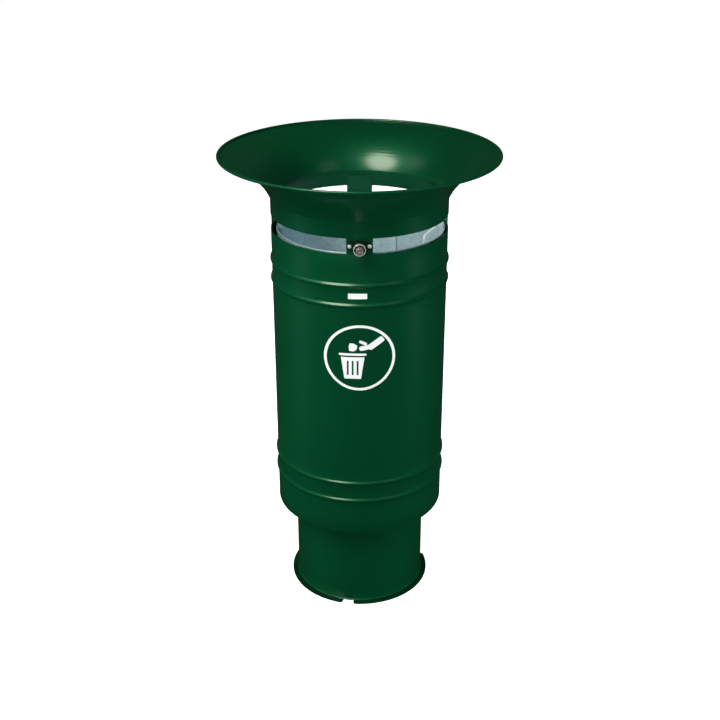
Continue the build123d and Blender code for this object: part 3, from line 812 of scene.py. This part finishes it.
class BIN_OT_hinge(bpy.types.Operator):
    """Channel arm, knuckles, bracket, pin and rivets at the back"""

    bl_idname = "bin.hinge"
    bl_label = "Rear hinge"

    def execute(self, context):
        piece("arm", [self.channel()], "hood", "coated_green", ["rear_arm"], bevel=0.5 * MM)
        low, high = knuckle_low[0], knuckle_high[0]
        block = slab(rectangle(low + 0.4 * MM, high - 0.4 * MM, HINGE_Z - 4 * MM, HINGE_Z + 4 * MM),
                     knuckle_low[1], HINGE_Y - 3.4 * MM)
        piece("arm_knuckle", [self.barrel(low, high), block], "hood", "coated_green", ["hood_knuckle"])
        side = high + 0.4 * MM
        reach = bracket_high[0]
        inner = SHELL_RADIUS - sizes().sheet
        leaf = bent_strip(reach, inner, inner - 2 * MM, bracket_low[2], HINGE_Z - 8.2 * MM, 180)
        ears = [slab(rectangle(*sorted((sign * side, sign * reach)), HINGE_Z - 9 * MM, HINGE_Z - 1 * MM),
                     inner - 2.2 * MM, inner - 0.3 * MM) for sign in (-1, 1)]
        barrels = [self.barrel(*sorted((sign * side, sign * reach))) for sign in (-1, 1)]
        piece("bracket", [leaf, *ears, *barrels], "body", "coated_green", ["hinge_bracket"], bevel=0.3 * MM)
        self.pin()
        self.rivets()
        return {"FINISHED"}

    @staticmethod
    def channel():
        """Web and two flanges of constant sheet, bent at the corners, with the web's top corners cut off."""
        thick, half = 2.0 * MM, arm_high[0]
        front = arm_low[1]
        back = np.sqrt((SHELL_RADIUS - sizes().sheet) ** 2 - half**2)
        outside = rounded([(-half, back), (-half, front), (half, front), (half, back)], 2.5 * MM, 6, False)
        within, web = half - thick, front + thick
        inside = rounded([(-within, back), (-within, web), (within, web), (within, back)], 0.8 * MM, 6, False)
        ring = np.vstack([outside, inside[::-1]])
        cut = np.clip(np.abs(ring[:, 0]) - (half - 5 * MM), 0, 5 * MM)
        low = np.column_stack([ring, np.full(len(ring), arm_low[2])])
        high = np.column_stack([ring, arm_high[2] - cut])
        points = np.stack([low, high], 1).reshape(-1, 3)
        faces = grid_faces(len(ring), 2, True, False)
        near = np.arange(len(outside) - 1)
        far = 2 * len(outside) - 2 - near
        caps = 2 * np.column_stack([near, far + 1, far, near + 1])
        return points, faces + caps.tolist() + (caps + 1).tolist()

    @staticmethod
    def barrel(low, high):
        """Rolled knuckle along X with rounded ends and a bore."""
        section = rounded(rectangle(3.05 * MM, 5.5 * MM, low, high), 0.45 * MM, 5)
        return lathe_along("x", section, (0, HINGE_Y, HINGE_Z))

    @staticmethod
    def pin():
        """Pin with a formed head, and the domed cap pushed on its other end."""
        reach = 22.4 * MM
        head = 4.6 * MM
        low = -reach - 1.8 * MM
        shaft = [(0, low), (head - 0.7 * MM, low), (head, low + 0.7 * MM), (head, -reach), (3.0 * MM, -reach),
                 (3.0 * MM, reach), (0, reach)]
        piece("hinge_rod", [lathe_along("x", shaft, (0, HINGE_Y, HINGE_Z), closed=False)], "body",
              "bright_zinc", ["hinge_pin"])
        high = reach + 1.8 * MM
        cap = [(0, reach - 0.2 * MM), (head, reach), (head, high - MM), (head - MM, high),
               (0, high + 0.3 * MM)]
        piece("hinge_end_cap", [lathe_along("x", cap, (0, HINGE_Y, HINGE_Z), closed=False)], "body",
              "bright_zinc", ["hinge_cap"])

    @staticmethod
    def rivets():
        """Four domed heads outside the shell, on shanks that end inside."""
        low, high = node_box("hinge_rivets")
        radius, rise = 4.6 * MM, 2.0 * MM
        shank, tail, seat = 2.4 * MM, -4.0 * MM, -0.3 * MM
        angle = np.radians(np.linspace(0, 90, 9))
        dome = np.vstack([[(0, tail), (shank, tail), (shank, seat), (radius, seat)],
                          np.column_stack([radius * np.cos(angle), rise * np.sin(angle)])])
        x = high[0] - radius
        surfaces = []
        for side in (-1, 1):
            for z in (low[2] + radius, high[2] - radius):
                points, faces = lathe_along("-y", dome, (0, 0, 0), closed=False)
                wall = np.sqrt(SHELL_RADIUS**2 - x**2)
                points = points * (-1, -1, 1) + np.array([side * x, wall, z])
                surfaces.append((points, faces))
        piece("rivet_heads", surfaces, "body", "coated_green", ["hinge_rivets"])


# ---------------------------------------------------------------- operators: lock

class BIN_OT_lock(bpy.types.Operator):
    """Housing with its plate, guard ring, screws and the rotor with its triangular stud"""

    bl_idname = "bin.lock"
    bl_label = "Lock"

    def execute(self, context):
        self.housing()
        self.ring()
        self.screws()
        self.rotor()
        return {"FINISHED"}

    @staticmethod
    def housing():
        """Oval plate on the tongue and the barrel that stands out of it, hollow at its end."""
        face = -TONGUE_OUTER - 2.5 * MM
        half, tall = housing_high[0], 9.5 * MM
        outline = rounded(rectangle(-half, half, LOCK_Z - tall, LOCK_Z + tall), tall - MM, 9)
        plate = slab(outline, face, -TONGUE_OUTER + 1.6 * MM)
        reach = -face
        end = -housing_low[1]
        hollow, outer = 7.3 * MM, 10.8 * MM
        section = [(hollow, reach - 1 * MM), (outer + 1.5 * MM, reach - 0.2 * MM), (outer, reach + 1.4 * MM),
                   (outer, end), (hollow, end)]
        barrel = lathe_along("-y", rounded(section, 0.4 * MM, 4), (0, 0, LOCK_Z), 64)
        piece("lock_body", [plate, barrel], "hood", "lock_black", ["lock_housing"],
              bevel=0.5 * MM)

    @staticmethod
    def ring():
        """Guard ring with a rounded lip."""
        end, back = -ring_low[1], -ring_high[1]
        outer, bore = ring_high[0], 10.85 * MM
        section = rounded([(bore, back), (outer, back), (outer, end), (bore, end)],
                          [0.3 * MM, 0.5 * MM, 0.8 * MM, 0.6 * MM], 5)
        piece("guard_ring", [lathe_along("-y", section, (0, 0, LOCK_Z), 72)], "hood", "bright_zinc",
              ["lock_ring"])

    @staticmethod
    def screws():
        """Button heads with a small round socket."""
        face = TONGUE_OUTER + 2.5 * MM
        radius, rise, socket = 4.0 * MM, 2.4 * MM, 1.45 * MM
        angle = np.radians(np.linspace(0, 62, 8))
        dome = np.column_stack([radius * np.cos(angle), face + 0.5 * MM + (rise - 0.5 * MM) * np.sin(angle)
                                / np.sin(angle[-1])])
        shank = [(0, face - 2 * MM), (2 * MM, face - 2 * MM), (2 * MM, face), (radius, face)]
        sunk = [(socket, face + rise), (socket, face + rise - 1.3 * MM), (0, face + rise - 1.6 * MM)]
        section = np.vstack([shank, dome, sunk])
        spread = node_box("lock_screws")[1][0] - radius
        heads = [lathe_along("-y", section, (side * spread, 0, LOCK_Z), 36, closed=False) for side in (-1, 1)]
        piece("button_screws", heads, "hood", "bright_zinc", ["lock_screws"])

    @staticmethod
    def rotor():
        """Round rotor with a cup and a three-sided stud in it; its tail holds the cam."""
        face = -rotor_low[1]
        cup, outer, deep = 5.6 * MM, rotor_high[0], 7.0 * MM
        tail = -node_box("lock_cam")[0][1]
        section = [(0, tail), (4 * MM, tail), (4 * MM, face - 22 * MM), (outer, face - 22 * MM),
                   (outer, face - 0.6 * MM), (outer - 0.6 * MM, face), (cup + 0.4 * MM, face),
                   (cup, face - 0.4 * MM), (cup, face - deep), (0, face - deep)]
        body = lathe_along("-y", section, (0, 0, LOCK_Z), 64, closed=False)
        side = 8.0 * MM / np.sqrt(3)
        angle = np.radians([90, 210, 330])
        outline = rounded(np.column_stack([side * np.cos(angle), LOCK_Z + side * np.sin(angle)]), 0.7 * MM, 5)
        stud = slab(outline, -face, -face + deep)
        square = slab(rectangle(-2.5 * MM, 2.5 * MM, LOCK_Z - 2.5 * MM, LOCK_Z + 2.5 * MM), -tail - 0.2 * MM,
                      rotor_high[1])
        piece("key_rotor", [body, stud, square], "lock", "lock_zinc", ["lock_rotor"], bevel=0.3 * MM)


# ---------------------------------------------------------------- operators: liner and handles

class BIN_OT_liner(bpy.types.Operator):
    """Galvanised bucket: wired rim, lapped wall, pressed base"""

    bl_idname = "bin.liner"
    bl_label = "Liner"

    def execute(self, context):
        s = sizes()
        wall = LINER_RIM - s.liner_bead
        top = liner_high[2] - s.liner_bead
        height = np.linspace(liner_low[2], top, 60)
        outer = np.column_stack([np.full(60, wall), height])
        inner = np.column_stack([np.full(60, wall - s.liner_sheet), height])
        section = beaded(outer, inner, np.array([wall, top]), s.liner_bead, 24)
        middle = (LINER_SHIFT, 0.0)
        bucket = lathe(section, 240, middle, push=self.dented)
        inside = wall - s.liner_sheet
        lap = bent_strip(7 * MM, inside + 0.3 * MM, inside - 2.6 * s.liner_sheet, base_high[2] + 3 * MM,
                         top - 9 * MM, 154.5)
        lap = (lap[0] + np.array([LINER_SHIFT, 0, 0]), lap[1])
        piece("bucket", [bucket, lap], "liner", "galvanised", ["liner_wall", "liner_rim_wire"])
        self.base(inside)
        return {"FINISHED"}

    @staticmethod
    def dented(turn, height):
        """Hand-lifted bucket: slow unevenness that dies out at the stiff rim and base."""
        share = (height - liner_low[2]) / (liner_high[2] - liner_low[2])
        soft = np.clip(share * (1 - share) * 4, 0, 1)
        wave = np.sin(5 * turn + 11 * height) + 0.6 * np.sin(9 * turn - 17 * height + 2)
        return -0.45 * MM * soft * (0.5 + 0.5 * wave / 1.6)

    @staticmethod
    def base(inside):
        """Pressed disc with a raised ring, a skirt, and four drain holes drawn as short necks."""
        s = sizes()
        top = base_high[2]
        thick = s.liner_sheet
        path = np.array([(0, top), (60 * MM, top), (66 * MM, top + 1.6 * MM), (90 * MM, top + 1.6 * MM),
                         (96 * MM, top), (inside - 2 * MM, top), (inside, top - 2 * MM),
                         (inside, base_low[2])])
        back = path - (0, thick)
        back[-2:] = path[-2:] - (thick, 0)
        section = np.vstack([path, back[::-1]])
        disc = lathe(section, 160, (LINER_SHIFT, 0.0), closed=False)
        turn = np.radians(45 + 90 * np.arange(4))
        neck = rounded(rectangle(4.0 * MM, 5.4 * MM, top - 1.4 * MM, top + 0.5 * MM), 0.3 * MM, 4)
        circle = 110 * MM
        necks = [lathe(neck, 32, (LINER_SHIFT + circle * np.sin(t), -circle * np.cos(t))) for t in turn]
        piece("bucket_base", [disc, *necks], "liner", "galvanised", ["liner_base"])


class BIN_OT_handles(bpy.types.Operator):
    """Bent-wire bails with their crimped collars"""

    bl_idname = "bin.handles"
    bl_label = "Liner handles"

    def execute(self, context):
        s = sizes()
        for name, angles in (("right", (48.5, 84.0)), ("left", (228.5, 264.0))):
            body = f"{name}_bail"
            low, high = node_box(f"{name}_handle")
            collars_low, collars_high = node_box(f"{name}_collars")
            leg = 168.2 * MM
            turn = np.radians(angles)
            feet = np.column_stack([LINER_SHIFT + leg * np.sin(turn), -leg * np.cos(turn)])
            top = high[2] - s.wire / 2
            corners = [(*feet[0], low[2]), (*feet[0], top), (*feet[1], top), (*feet[1], low[2])]
            path = rounded(corners, 8.0 * MM, 12, False)
            across = np.array([feet[1][0] - feet[0][0], feet[1][1] - feet[0][1], 0.0])
            flat = np.cross(across, (0, 0, 1.0))
            flat /= np.linalg.norm(flat)
            piece(f"{name}_bail_wire", [carried(path, s.wire / 2, flat)], body, "galvanised",
                  [f"{name}_handle"], look="drawn_wire")
            section = rounded(rectangle(s.wire / 2 - 0.1 * MM, 3.4 * MM, 0, 3.0 * MM), 0.5 * MM, 5)
            rings = [lathe(section + (0, z), 28, tuple(foot))
                     for foot in feet for z in (collars_low[2], collars_high[2] - 3.0 * MM)]
            piece(f"{name}_bail_collars", rings, body, "galvanised", [f"{name}_collars"], look="drawn_wire")
        return {"FINISHED"}


# ---------------------------------------------------------------- operators: marks

class BIN_OT_marks(bpy.types.Operator):
    """Blank label plate and the pictogram: a hand lets go of paper over a bin, in a ring"""

    bl_idname = "bin.marks"
    bl_label = "Label and pictogram"

    def execute(self, context):
        low, high = SHELL_RADIUS - 0.25 * MM, SHELL_RADIUS + 0.30 * MM
        middle = (label_low + label_high) / 2
        half_u, half_v = (label_high[0] - label_low[0]) / 2, (label_high[2] - label_low[2]) / 2
        plate = rounded(rectangle(middle[0] - half_u, middle[0] + half_u, -half_v, half_v), 1.2 * MM, 6)
        piece("blank_label", [skin(plate, (middle[0], 0), low, high, middle[2])], "body", "label_white",
              ["label_plate"])
        height = (mark_low[2] + mark_high[2]) / 2
        radius = (mark_high[2] - mark_low[2]) / 2
        surfaces = [skin(arc((0, 0), radius, 0, 359, 360), arc((0, 0), radius - 5.6 * MM, 0, 359, 360),
                         low, high, height, 4)]
        for outline in self.drawing():
            surfaces.append(skin(outline * MM, outline.mean(0) * MM, low, high, height, 5))
        piece("bin_pictogram", surfaces, "body", "label_white", ["pictogram"])
        return {"FINISHED"}

    @staticmethod
    def turned(outline, angle, place):
        """An outline turned and moved in its own plane."""
        cosine, sine = np.cos(np.radians(angle)), np.sin(np.radians(angle))
        return outline @ np.array([[cosine, sine], [-sine, cosine]]) + place

    def drawing(self):
        """Outlines in millimetres from the ring's middle: bin staves and bars, lip, paper, arm and hand."""
        top, bottom, upper, lower = 2.0, -46.0, -6.0, -38.0

        def edge(x_top, x_bottom, v):
            return x_top + (x_bottom - x_top) * (top - v) / (top - bottom)

        def quad(left, right, low_v, high_v):
            corners = [(left(low_v), low_v), (right(low_v), low_v),
                       (right(high_v), high_v), (left(high_v), high_v)]
            return rounded(corners, 0.15, 3)

        def left_side(v):
            return edge(-38, -31, v)

        def right_side(v):
            return edge(10, 3, v)

        slots = [lambda v: -25.8, lambda v: -22.2, lambda v: -15.8, lambda v: -12.2, lambda v: -5.8,
                 lambda v: -2.2]
        sides = [left_side, *slots, right_side]
        staves = [quad(sides[i], sides[i + 1], lower, upper) for i in range(0, 8, 2)]
        bars = [quad(left_side, right_side, upper, top), quad(left_side, right_side, bottom, lower)]
        lip = rounded(rectangle(-42, 14, 5.5, 10.5), 2.0, 6)
        corner = np.radians(np.arange(7) * 360 / 7 + 20)
        ragged = 9.5 + 1.2 * np.cos(3 * corner)
        crumple = np.column_stack([-14 + ragged * np.cos(corner), 24 + ragged * np.sin(corner)])
        paper = rounded(crumple, 0.8, 3)
        arm = self.turned(rounded(rectangle(-18, 18, -6.5, 6.5), 4.0, 8), 35, (33, 32.3))
        palm = self.turned(rounded(rectangle(-12, 12, -5, 5), 4.9, 9), 12, (11, 23))
        thumb = self.turned(rounded(rectangle(-8.5, 8.5, -3, 3), 2.9, 8), -24, (7, 34))
        return [*staves, *bars, lip, paper, arm, palm, thumb]


# ---------------------------------------------------------------- operators: carried nodes and stage

class BIN_OT_carried(bpy.types.Operator):
    """Gives the frame's own visible nodes the finish of their slot"""

    bl_idname = "bin.carried"
    bl_label = "Finish of kept nodes"

    def execute(self, context):
        slots = {part["node"]: part["material_slot"] for part in frame["record"]["subparts"]}
        for name, node in frame["nodes"].items():
            if node.hide_render:
                continue
            node.data.materials.clear()
            node.data.materials.append(finish_named(slots[name]))
        return {"FINISHED"}


class BIN_OT_stage(bpy.types.Operator):
    """Camera, pale floor, surroundings and soft lights"""

    bl_idname = "bin.stage"
    bl_label = "Stage"

    camera_back: bpy.props.FloatProperty(
        name="Camera distance", description="Level distance from the bin's axis",
        default=2.271, unit="LENGTH")
    camera_height: bpy.props.FloatProperty(
        name="Camera height", description="Height over the ground", default=1.593, unit="LENGTH")
    camera_tilt: bpy.props.FloatProperty(
        name="Camera tilt", description="Angle below the horizon", default=np.radians(24.9), subtype="ANGLE")
    lens: bpy.props.FloatProperty(name="Lens", description="Focal length in millimetres", default=56.85)

    def execute(self, context):
        scene = context.scene
        scene.view_settings.view_transform = "Standard"
        data = bpy.data.cameras.new("camera")
        data.lens = self.lens
        data.sensor_width = 36
        camera = bpy.data.objects.new("camera", data)
        camera.location = (0, -self.camera_back, self.camera_height)
        camera.rotation_euler = (np.pi / 2 - self.camera_tilt, 0, 0)
        data.shift_x = 0.0006
        scene.collection.objects.link(camera)
        scene.camera = camera
        self.floor(scene)
        self.surroundings(scene)
        self.lights(scene)
        return {"FINISHED"}

    @staticmethod
    def floor(scene):
        """A wide pale sheet that the bin stands on."""
        half = 12.0
        mesh = bpy.data.meshes.new("floor")
        mesh.from_pydata([(-half, -half, -0.0002), (half, -half, -0.0002), (half, half, -0.0002),
                          (-half, half, -0.0002)], [], [(0, 1, 2, 3)])
        floor = bpy.data.objects.new("floor", mesh)
        scene.collection.objects.link(floor)
        paint = Paint("pale floor")
        grain = paint.noise(3.0, 3.0)
        body = paint.mix(grain, (0.82, 0.82, 0.82), (0.85, 0.85, 0.85))
        mesh.materials.append(paint.finish(Base_Color=body, Roughness=0.9, Specular_IOR_Level=0.0,
                                           Emission_Color=(1, 1, 1, 1), Emission_Strength=0.93))
        floor.visible_glossy = False
        floor.visible_diffuse = False

    @staticmethod
    def surroundings(scene):
        """White to the eye, a soft fill for matt light, and nearly black in gloss, paler behind the bin."""
        world = bpy.data.worlds.new("studio")
        scene.world = world
        world.use_nodes = True
        tree = world.node_tree
        tree.nodes.clear()
        place = tree.nodes.new("ShaderNodeTexCoord")
        apart = tree.nodes.new("ShaderNodeSeparateXYZ")
        tree.links.new(place.outputs["Generated"], apart.inputs[0])
        behind = tree.nodes.new("ShaderNodeMapRange")
        behind.interpolation_type = "SMOOTHSTEP"
        for socket, value in zip(behind.inputs[1:5], (0.3, 0.9, 0.003, 0.013)):
            socket.default_value = value
        tree.links.new(apart.outputs["Y"], behind.inputs[0])
        ray = tree.nodes.new("ShaderNodeLightPath")
        fill = tree.nodes.new("ShaderNodeMath")
        fill.operation = "MULTIPLY_ADD"
        fill.inputs[1].default_value = 0.072
        tree.links.new(ray.outputs["Is Diffuse Ray"], fill.inputs[0])
        tree.links.new(behind.outputs[0], fill.inputs[2])
        total = tree.nodes.new("ShaderNodeMath")
        total.operation = "MAXIMUM"
        tree.links.new(ray.outputs["Is Camera Ray"], total.inputs[0])
        tree.links.new(fill.outputs[0], total.inputs[1])
        back = tree.nodes.new("ShaderNodeBackground")
        back.inputs["Color"].default_value = (1, 1, 1, 1)
        tree.links.new(total.outputs[0], back.inputs["Strength"])
        output = tree.nodes.new("ShaderNodeOutputWorld")
        tree.links.new(back.outputs[0], output.inputs["Surface"])

    @staticmethod
    def lights(scene):
        """Soft boxes by azimuth (0 is the camera's side, + towards +X), elevation, distance, size and power.

        Only the boxes that glint are seen in the gloss; the others only fill.
        """
        boxes = (("key", -34, 50, 3.2, 1.7, 1.7, 90, True),
                 ("front", -6, 4, 3.2, 2.2, 0.9, 32, False),
                 ("left side", -76, -9, 3.0, 0.8, 1.4, 48, False),
                 ("right side", 72, -9, 3.0, 0.8, 1.4, 58, False),
                 ("left bounce", -80, -14, 1.9, 1.0, 0.5, 15, False),
                 ("right bounce", 80, -14, 1.9, 1.0, 0.5, 17, False),
                 ("right glint", 47, 42, 3.2, 1.2, 1.2, 1.6, True),
                 ("left glint", -82, 45, 3.2, 1.6, 1.2, 3, True),
                 ("back", 160, 30, 3.2, 1.4, 1.8, 66, False),
                 ("back fill", -150, 6, 3.2, 1.6, 1.2, 34, False))
        aim = np.array([0, 0, 0.6])
        for name, azimuth, elevation, distance, wide, tall, power, glints in boxes:
            a, e = np.radians(azimuth), np.radians(elevation)
            way = np.array([np.sin(a) * np.cos(e), -np.cos(a) * np.cos(e), np.sin(e)])
            data = bpy.data.lights.new(name, "AREA")
            data.shape = "ELLIPSE"
            data.size, data.size_y, data.energy = wide, tall, power
            if name == "key":
                data.color = (1.0, 0.98, 0.82)
            light = bpy.data.objects.new(name, data)
            light.location = aim + way * distance
            light.rotation_euler = (np.pi / 2 - e, 0, a)
            light.visible_glossy = glints
            scene.collection.objects.link(light)


class BIN_PT_panel(bpy.types.Panel):
    """Lists the bin's pieces and sizes"""

    bl_label = "Litter Bin"
    bl_idname = "BIN_PT_panel"
    bl_space_type = "VIEW_3D"
    bl_region_type = "UI"
    bl_category = "Litter Bin"

    def draw(self, context):
        layout = self.layout
        for operator in OPERATORS:
            layout.operator(operator.bl_idname)
        for group in (context.scene.bin_sizes, context.scene.bin_colours):
            box = layout.box()
            for name in group.bl_rna.properties.keys():
                if name not in ("rna_type", "name"):
                    box.prop(group, name)


OPERATORS = (BIN_OT_stage, BIN_OT_shell, BIN_OT_foot, BIN_OT_hood, BIN_OT_tongues, BIN_OT_hinge, BIN_OT_lock,
             BIN_OT_liner, BIN_OT_handles, BIN_OT_marks, BIN_OT_carried)
CLASSES = (BinSizes, BinColours, *OPERATORS, BIN_PT_panel)


def register():
    for kind in CLASSES:
        bpy.utils.register_class(kind)
    bpy.types.Scene.bin_sizes = bpy.props.PointerProperty(type=BinSizes)
    bpy.types.Scene.bin_colours = bpy.props.PointerProperty(type=BinColours)


def unregister():
    del bpy.types.Scene.bin_colours
    del bpy.types.Scene.bin_sizes
    for kind in reversed(CLASSES):
        bpy.utils.unregister_class(kind)


def main():
    """Makes every piece in order."""
    register()
    for operator in OPERATORS:
        group, name = operator.bl_idname.split(".")
        getattr(getattr(bpy.ops, group), name)()
    bpy.context.view_layer.update()


if __name__ == "__main__":
    main()
